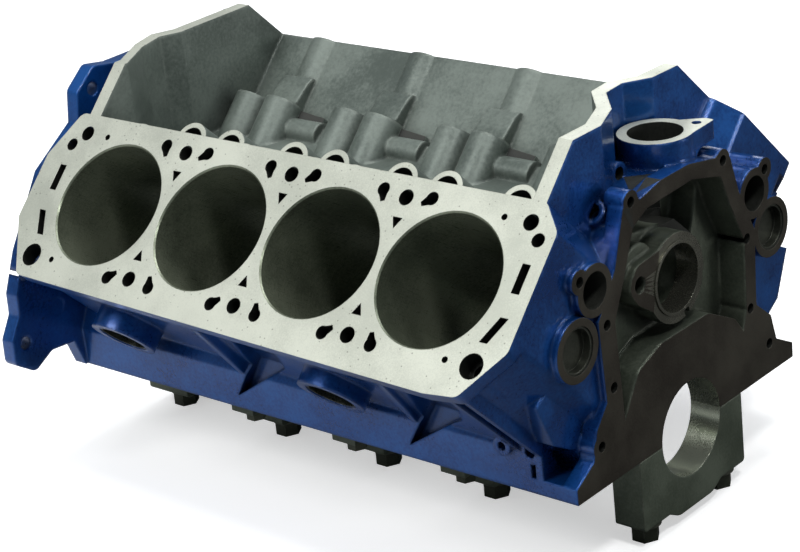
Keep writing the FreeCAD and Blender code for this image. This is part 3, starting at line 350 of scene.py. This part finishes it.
def makeBluePaint():
    look = bluePaintLook
    finish, tree, shader = newFinish("bluePaint")
    grain = effect(tree, "grain", Grain_Scale=look["grainScale"], Lump_Scale=look["lumpScale"], Lumps=look["lumps"])
    edge = effect(tree, "edge", Radius=look["edgeRadius"], Breakup=look["breakup"])
    paintedShade = effect(tree, "paintedShade", Reach=look["shadeReach"])
    tone = spread(tree, grain.outputs["Tone"], 0.35, 0.65)
    colour = blendColour(tree, tone, look["colour"], look["lightColour"])
    # painted shade: hollows and corners darkened towards the darkest colour
    colour = tint(tree, paintedShade.outputs["Crevice Shade"], look["paintedShade"], colour, look["shadeColour"])
    colour = tint(tree, edge.outputs["Edge"], look["wear"], colour, look["lightColour"])
    tree.links.new(colour, shader.inputs["Base Color"])
    roughness = spread(tree, tone, 0.0, 1.0, look["roughness"], look["roughness"] + look["roughnessSpread"])
    tree.links.new(roughness, shader.inputs["Roughness"])
    shader.inputs["Metallic"].default_value = look["metal"]
    shader.inputs["Coat Weight"].default_value = look["coat"]
    shader.inputs["Coat Roughness"].default_value = look["coatRoughness"]
    normal = bump(tree, grain.outputs["Height"], look["grain"], 0.0006, edge.outputs["Normal"])
    tree.links.new(normal, shader.inputs["Normal"])
    tree.links.new(normal, shader.inputs["Coat Normal"])
    return finish


machinedLook = {
    "colour": (0.60, 0.62, 0.53),
    "dullColour": (0.45, 0.47, 0.40),
    "poreColour": (0.10, 0.10, 0.08),
    "edgeColour": (0.20, 0.21, 0.17),
    "metal": 0.35,
    "roughness": (0.42 - 0.08, 0.42 + 0.12),
    "grainScale": 900.0,
    "lumpScale": 60.0,
    "lumps": 0.4,
    "pitchScale": 1500.0,
    "pitchStretch": 0.05,
    "markDepth": 0.12,
    "poreScale": 260.0,
    "poreSize": 0.17,
    "poreSparse": 0.72,
    "pores": 0.55,
    "edgeRadius": 0.0008,
    "breakup": 120.0,
    "wear": 0.5,
}


def makeMachined():
    look = machinedLook
    finish, tree, shader = newFinish("machinedDeck")
    grain = effect(tree, "grain", Grain_Scale=look["grainScale"], Lump_Scale=look["lumpScale"], Lumps=look["lumps"])
    marks = effect(tree, "marks", Pitch_Scale=look["pitchScale"], Stretch=look["pitchStretch"])
    edge = effect(tree, "edge", Radius=look["edgeRadius"], Breakup=look["breakup"])
    pores = effect(tree, "specks", Scale=look["poreScale"], Size=look["poreSize"], Sparse=look["poreSparse"])
    tone = spread(tree, grain.outputs["Tone"], 0.36, 0.62)
    colour = blendColour(tree, tone, look["dullColour"], look["colour"])
    colour = tint(tree, pores.outputs["Mask"], look["pores"], colour, look["poreColour"])
    colour = tint(tree, edge.outputs["Edge"], look["wear"], colour, look["edgeColour"])
    tree.links.new(colour, shader.inputs["Base Color"])
    low, high = look["roughness"]
    tree.links.new(spread(tree, marks.outputs["Streak"], 0.3, 0.7, low, high), shader.inputs["Roughness"])
    shader.inputs["Metallic"].default_value = look["metal"]
    normal = bump(tree, marks.outputs["Height"], look["markDepth"], 0.00025, edge.outputs["Normal"])
    tree.links.new(normal, shader.inputs["Normal"])
    return finish


boreLook = {
    "colour": (0.095, 0.112, 0.078),
    "lightColour": (0.235, 0.260, 0.190),
    "metal": 0.50,
    "roughness": (0.32 - 0.06, 0.32 + 0.12),
    "grainScale": 500.0,
    "lumpScale": 30.0,
    "lumps": 0.5,
    "edgeRadius": 0.0006,
    "breakup": 120.0,
    "honeLean": 0.6,
    "honeScale": 2600.0,
    "honeStretch": (0.03, 0.03, 1.0),
    "honeDepth": 0.25,
}


def makeBoreWall():
    look = boreLook
    finish, tree, shader = newFinish("honedBore")
    place = addNode(tree, "ShaderNodeNewGeometry").outputs["Position"]
    grain = effect(tree, "grain", Grain_Scale=look["grainScale"], Lump_Scale=look["lumpScale"], Lumps=look["lumps"])
    edge = effect(tree, "edge", Radius=look["edgeRadius"], Breakup=look["breakup"])
    tone = spread(tree, grain.outputs["Tone"], 0.35, 0.65)
    colour = blendColour(tree, tone, look["colour"], look["lightColour"])
    tree.links.new(colour, shader.inputs["Base Color"])
    # crossed honing scratches
    crossed = []
    for lean in (look["honeLean"], -look["honeLean"]):
        turned = addNode(tree, "ShaderNodeVectorRotate", rotation_type="X_AXIS")
        tree.links.new(place, turned.inputs["Vector"])
        turned.inputs["Angle"].default_value = lean
        thin = addNode(tree, "ShaderNodeVectorMath", operation="MULTIPLY")
        tree.links.new(turned.outputs[0], thin.inputs[0])
        thin.inputs[1].default_value = look["honeStretch"]
        crossed.append(noise(tree, thin.outputs[0], look["honeScale"], 2.0, 0.6))
    scratch = maths(tree, "MULTIPLY", crossed[0], crossed[1])
    normal = bump(tree, scratch, look["honeDepth"], 0.0002, edge.outputs["Normal"])
    tree.links.new(normal, shader.inputs["Normal"])
    low, high = look["roughness"]
    tree.links.new(spread(tree, scratch, 0.1, 0.5, low, high), shader.inputs["Roughness"])
    shader.inputs["Metallic"].default_value = look["metal"]
    return finish


def makeIron(name, look):
    finish, tree, shader = newFinish(name)
    grain = effect(tree, "grain", Grain_Scale=look["grainScale"], Lump_Scale=look["lumpScale"], Lumps=0.7)
    edge = effect(tree, "edge", Radius=look["edgeRadius"], Breakup=90.0)
    paintedShade = effect(tree, "paintedShade", Reach=0.018)
    tone = spread(tree, grain.outputs["Tone"], 0.34, 0.66)
    colour = blendColour(tree, tone, look["colour"], look["lightColour"])
    # painted shade: hollows and corners darkened towards the darkest colour
    colour = tint(tree, paintedShade.outputs["Crevice Shade"], look["paintedShade"], colour, look["shadeColour"])
    colour = tint(tree, edge.outputs["Edge"], look["wear"], colour, look["wornColour"])
    tree.links.new(colour, shader.inputs["Base Color"])
    tree.links.new(spread(tree, tone, 0.0, 1.0, look["roughness"] - 0.06, look["roughness"] + 0.1),
                   shader.inputs["Roughness"])
    shader.inputs["Metallic"].default_value = look["metal"]
    tree.links.new(bump(tree, grain.outputs["Height"], look["grain"], 0.0006, edge.outputs["Normal"]),
                   shader.inputs["Normal"])
    return finish


# in each look the darkest colour and its strength give painted shade in hollows and corners
ironLooks = {
    "valleyCast": {
        "colour": (0.098, 0.12, 0.105), "lightColour": (0.19, 0.223, 0.197),
        "shadeColour": (0.025, 0.03, 0.026), "wornColour": (0.38, 0.42, 0.37),
        "grainScale": 340.0, "lumpScale": 110.0, "grain": 0.55, "edgeRadius": 0.004,
        "paintedShade": 0.85, "wear": 0.35, "roughness": 0.42, "metal": 0.35},
    "machinedFront": {
        "colour": (0.036, 0.03, 0.023), "lightColour": (0.068, 0.062, 0.047),
        "shadeColour": (0.008, 0.007, 0.006), "wornColour": (0.2, 0.2, 0.16),
        "grainScale": 700.0, "lumpScale": 50.0, "grain": 0.12, "edgeRadius": 0.0008,
        "paintedShade": 0.5, "wear": 0.5, "roughness": 0.36, "metal": 0.55},
    "cavityCast": {
        "colour": (0.075, 0.09, 0.068), "lightColour": (0.15, 0.17, 0.13),
        "shadeColour": (0.008, 0.009, 0.007), "wornColour": (0.26, 0.28, 0.22),
        "grainScale": 420.0, "lumpScale": 70.0, "grain": 0.35, "edgeRadius": 0.004,
        "paintedShade": 1.0, "wear": 0.4, "roughness": 0.36, "metal": 0.45},
    "boredIron": {
        "colour": (0.28, 0.31, 0.24), "lightColour": (0.46, 0.49, 0.4),
        "shadeColour": (0.03, 0.03, 0.025), "wornColour": (0.45, 0.46, 0.38),
        "grainScale": 900.0, "lumpScale": 40.0, "grain": 0.06, "edgeRadius": 0.0006,
        "paintedShade": 0.4, "wear": 0.5, "roughness": 0.26, "metal": 0.75},
    "capIron": {
        "colour": (0.072, 0.09, 0.064), "lightColour": (0.135, 0.16, 0.12),
        "shadeColour": (0.015, 0.015, 0.012), "wornColour": (0.24, 0.24, 0.2),
        "grainScale": 520.0, "lumpScale": 80.0, "grain": 0.3, "edgeRadius": 0.0018,
        "paintedShade": 0.5, "wear": 0.45, "roughness": 0.42, "metal": 0.45},
    "rawCast": {
        "colour": (0.05, 0.05, 0.04), "lightColour": (0.095, 0.09, 0.075),
        "shadeColour": (0.012, 0.012, 0.01), "wornColour": (0.18, 0.17, 0.14),
        "grainScale": 420.0, "lumpScale": 60.0, "grain": 0.4, "edgeRadius": 0.002,
        "paintedShade": 0.6, "wear": 0.3, "roughness": 0.55, "metal": 0.3},
    # near-black painted shade for the insides of holes, passages and bores
    "paintedHoleShade": {
        "colour": (0.012, 0.014, 0.011), "lightColour": (0.03, 0.032, 0.026),
        "shadeColour": (0.003, 0.003, 0.003), "wornColour": (0.12, 0.12, 0.1),
        "grainScale": 500.0, "lumpScale": 90.0, "grain": 0.3, "edgeRadius": 0.0006,
        "paintedShade": 0.8, "wear": 0.2, "roughness": 0.5, "metal": 0.3},
    "boltSteel": {
        "colour": (0.06, 0.07, 0.05), "lightColour": (0.11, 0.12, 0.09),
        "shadeColour": (0.01, 0.012, 0.01), "wornColour": (0.3, 0.31, 0.26),
        "grainScale": 900.0, "lumpScale": 120.0, "grain": 0.1, "edgeRadius": 0.0007,
        "paintedShade": 0.5, "wear": 0.6, "roughness": 0.34, "metal": 0.7},
    "washerSteel": {
        "colour": (0.12, 0.13, 0.1), "lightColour": (0.2, 0.21, 0.17),
        "shadeColour": (0.02, 0.02, 0.015), "wornColour": (0.35, 0.36, 0.3),
        "grainScale": 900.0, "lumpScale": 150.0, "grain": 0.1, "edgeRadius": 0.0005,
        "paintedShade": 0.4, "wear": 0.6, "roughness": 0.36, "metal": 0.75},
    "plugSteel": {
        "colour": (0.035, 0.04, 0.032), "lightColour": (0.075, 0.08, 0.062),
        "shadeColour": (0.008, 0.008, 0.007), "wornColour": (0.28, 0.29, 0.24),
        "grainScale": 800.0, "lumpScale": 120.0, "grain": 0.15, "edgeRadius": 0.0008,
        "paintedShade": 0.5, "wear": 0.6, "roughness": 0.32, "metal": 0.65},
    "bearingMetal": {
        "colour": (0.16, 0.16, 0.13), "lightColour": (0.26, 0.26, 0.21),
        "shadeColour": (0.03, 0.03, 0.025), "wornColour": (0.4, 0.4, 0.33),
        "grainScale": 900.0, "lumpScale": 60.0, "grain": 0.08, "edgeRadius": 0.0004,
        "paintedShade": 0.4, "wear": 0.5, "roughness": 0.3, "metal": 0.85},
}

finishes = {"bluePaint": makeBluePaint(), "machinedDeck": makeMachined(), "honedBore": makeBoreWall()}
for name, look in ironLooks.items():
    finishes[name] = makeIron(name, look)
print("finishes made:", len(finishes))


# which finish each face of the casting has
blockFinishes = ["bluePaint", "machinedDeck", "honedBore", "valleyCast", "machinedFront",
                 "cavityCast", "boredIron", "bearingMetal", "rawCast", "paintedHoleShade"]
halfRoot = math.sqrt(0.5)


def lineAt(line, y):
    if y <= line[0][0]:
        return line[0][1]
    for (low, first), (high, last) in zip(line, line[1:]):
        if y <= high:
            return first + (last - first) * (y - low) / (high - low)
    return line[-1][1]


def insideOutline(outline, along, across, inset=0.0):
    # every side of the outline has the inside on its left
    for (x1, s1), (x2, s2) in zip(outline, outline[1:] + outline[:1]):
        length = math.hypot(x2 - x1, s2 - s1)
        if (x2 - x1) * (across - s1) - (s2 - s1) * (along - x1) < inset * length:
            return False
    return True


def bankFinish(place, facing, side):
    lay = blockLayout
    outward = Vector((0, side * halfRoot, halfRoot))
    inward = Vector((0, -side * halfRoot, halfRoot))
    high, across, x = place.dot(outward), place.dot(inward), place.x
    flat = facing.dot(outward)
    if high > lay["deckHeight"] - lay["holeSlack"] and flat > lay["deckFacing"]:
        return "machinedDeck"
    for number in range(lay["boreCount"]):
        bore = lay["firstBore"][side] - lay["boreStep"] * number
        if high > lay["boreBottom"] and math.hypot(x - bore, across) < lay["boreRadius"] + lay["boreLip"]:
            return "honedBore"
    # passages open in the deck plate; below it only what lies inside the drawn-in wall is a passage
    inset = 0.0 if high > lay["plateUnder"] else lay["wallInset"]
    # walls of the deck passages get the near-black painted shade
    if high > lay["passageBottom"] and flat > -0.5 and insideOutline(deckOutline[side], x, across, inset):
        return "paintedHoleShade"
    lifterTop = lay["lifterTop"][side]
    if abs(high - lifterTop) < lay["faceSlack"] and flat > lay["deckFacing"] and across > lay["lifterInner"]:
        return "machinedDeck"
    offset = across - lay["lifterAcross"]
    nearest, furthest = lay["lifterReach"]
    inBore = nearest < abs(offset) < furthest and facing.dot(inward) * offset < 0
    # walls of the lifter bores get the near-black painted shade
    if lay["lifterBottom"] < high < lifterTop and abs(flat) < 0.1 and inBore:
        return "paintedHoleShade"
    return None


def onMainBore(place):
    return math.hypot(place.y, place.z) < blockLayout["mainBore"] + blockLayout["boreSlack"]


def blockFinish(place, facing):
    lay = blockLayout
    x, y, z = place
    slack, square = lay["faceSlack"], lay["wallFacing"]
    for side in (-1, 1):
        found = bankFinish(place, facing, side)
        if found:
            return found
    if onMainBore(place):
        return "boredIron"
    if z > lay["wallTop"] and facing.z > square:
        return "machinedDeck"
    atFront = x > -slack and facing.x > square
    atRear = x < lay["rearFace"] + slack and facing.x < -square
    if atFront or atRear or (z < slack and facing.z < -square):
        return "machinedFront"
    ahead = lineAt(frontWallLine, y) - lay["wallHalf"]
    behind = lineAt(rearWallLine, y) + lay["wallHalf"]
    if z > lay["padTop"] and facing.z > square and x > ahead:
        return "machinedDeck"
    if behind < x < ahead and z > lay["valleyFloor"] and abs(y) < lay["valleyHalf"]:
        return "valleyCast"
    padX, padY, padRadius = lay["distributor"]
    # the distributor bore gets the near-black painted shade
    if math.hypot(x - padX, y - padY) < padRadius and z > lay["padBottom"]:
        return "paintedHoleShade"
    if x > lay["cavityBack"] and insideOutline(cavityOutline, y, z, -lay["cavitySlack"]):
        if math.hypot(y, z - lay["camHeight"]) < lay["ringRadius"] and facing.x > square:
            return "bearingMetal"
        return "machinedFront" if x > lay["cavityFront"] and facing.x > square else "cavityCast"
    # the forward-opening ports and bolt holes get the near-black painted shade
    for portY, portZ, portRadius in frontHoles:
        if x > lay["holeBack"] and math.hypot(y - portY, z - portZ) < portRadius + lay["holeSlack"]:
            return "paintedHoleShade"
    if abs(y) < lay["crankHalf"] and z < lay["crankTop"] and x < lay["crankFront"]:
        return "rawCast"
    return "bluePaint"


def dressBlock():
    block = nodes["cylinder_block"]
    mesh = block.data
    mesh.materials.clear()
    for name in blockFinishes:
        mesh.materials.append(finishes[name])
    place = {name: number for number, name in enumerate(blockFinishes)}
    count = {}
    for face in mesh.polygons:
        name = blockFinish(face.center, face.normal)
        face.material_index = place[name]
        count[name] = count.get(name, 0) + 1
    print("block faces by finish:", count)


def dressSmallParts():
    kinds = [("main_cap", "capIron"), ("bolt", "boltSteel"), ("washer", "washerSteel"),
             ("cam_bearing", "bearingMetal"), ("plug", "plugSteel")]
    for name, piece in nodes.items():
        if name == "cylinder_block":
            continue
        finish = [kind[1] for kind in kinds if kind[0] in name][0]
        piece.data.materials.clear()
        piece.data.materials.append(finishes[finish])
        piece.data.materials.append(finishes["boredIron"])
        for face in piece.data.polygons:
            face.material_index = 1 if finish == "capIron" and onMainBore(face.center) else 0


dressBlock()
dressSmallParts()
print("casting and small parts dressed")


# floor, sky and lights: each light is a place, what it points at, its width and its power
studio = {
    "floorReach": 9.0,
    "floorColour": (0.90, 0.90, 0.90),
    "floorGlow": 0.50,
    "bounceBright": 0.60,
    "bounceDim": 0.06,
    "backgroundStrength": 1.0,
    "skyColour": (0.80, 0.90, 1.0),
    "skyStrength": 0.18,
    "lights": {
        "keySoft": ((-0.9, -1.9, 2.1), (-0.26, 0.0, 0.12), 1.6, 44.0),
        "overhead": ((-0.2, 0.6, 2.4), (-0.26, 0.0, 0.12), 1.4, 30.0),
        "frontStrip": ((0.9, -0.5, 2.1), (-0.15, 0.0, 0.15), 0.35, 17.0),
        "farSide": ((-1.15, 1.5, 0.95), (-0.06, 0.0, 0.2), 0.5, 3.5),
        "frontLow": ((1.6, 1.0, 0.35), (-0.04, 0.0, 0.12), 0.6, 9.0),
    },
}


def makeFloor():
    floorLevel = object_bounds()[0][2]
    mesh = bpy.data.meshes.new("floor")
    reach = studio["floorReach"]
    corners = [(x * reach, y * reach, floorLevel) for x, y in ((-1, -1), (1, -1), (1, 1), (-1, 1))]
    mesh.from_pydata(corners, [], [(0, 1, 2, 3)])
    floor = bpy.data.objects.new("floor", mesh)
    bpy.context.scene.collection.objects.link(floor)
    finish, tree, shader = newFinish("paleFloor")
    place = addNode(tree, "ShaderNodeNewGeometry").outputs["Position"]
    tone = noise(tree, place, 3.0, 3.0, 0.5)
    pale = studio["floorColour"]
    # the floor throws less light on the casting than it shows, most of it from the near side
    seen = addNode(tree, "ShaderNodeLightPath").outputs["Is Camera Ray"]
    apart = addNode(tree, "ShaderNodeSeparateXYZ")
    tree.links.new(place, apart.inputs[0])
    nearSide = spread(tree, maths(tree, "MULTIPLY_ADD", apart.outputs[0], 0.7, apart.outputs[1]), 0.0, -0.45,
                      studio["bounceDim"], studio["bounceBright"])
    bounce = addNode(tree, "ShaderNodeCombineColor")
    for socket in bounce.inputs:
        fill(tree, socket, nearSide)
    shown = blendColour(tree, tone, pale, tuple(part * 0.98 for part in pale))
    tree.links.new(blendColour(tree, seen, bounce.outputs[0], shown), shader.inputs["Base Color"])
    shader.inputs["Roughness"].default_value = 0.9
    shader.inputs["Specular IOR Level"].default_value = 0.2
    shader.inputs["Emission Color"].default_value = (1, 1, 1, 1)
    tree.links.new(maths(tree, "MULTIPLY", seen, studio["floorGlow"]), shader.inputs["Emission Strength"])
    mesh.materials.append(finish)


def makeSky():
    # white where the camera sees it, a dim room where the casting reflects it
    world = bpy.data.worlds.new("studio")
    world.use_nodes = True
    tree = world.node_tree
    room = tree.nodes["Background"]
    room.inputs[0].default_value = (*studio["skyColour"], 1)
    room.inputs[1].default_value = studio["skyStrength"]
    white = tree.nodes.new("ShaderNodeBackground")
    white.inputs[0].default_value = (1, 1, 1, 1)
    white.inputs[1].default_value = studio["backgroundStrength"]
    either = tree.nodes.new("ShaderNodeMixShader")
    seen = tree.nodes.new("ShaderNodeLightPath")
    tree.links.new(seen.outputs["Is Camera Ray"], either.inputs[0])
    tree.links.new(room.outputs[0], either.inputs[1])
    tree.links.new(white.outputs[0], either.inputs[2])
    tree.links.new(either.outputs[0], tree.nodes["World Output"].inputs[0])
    bpy.context.scene.world = world


def makeLights():
    for name, (at, aim, width, power) in studio["lights"].items():
        data = bpy.data.lights.new(name, "AREA")
        data.shape = "DISK"
        data.size = width
        data.energy = power
        light = bpy.data.objects.new(name, data)
        light.location = at
        light.rotation_euler = (Vector(aim) - Vector(at)).to_track_quat("-Z", "Y").to_euler()
        bpy.context.scene.collection.objects.link(light)


makeFloor()
makeSky()
makeLights()
bpy.context.scene.view_settings.view_transform = "Standard"
print("studio lit")
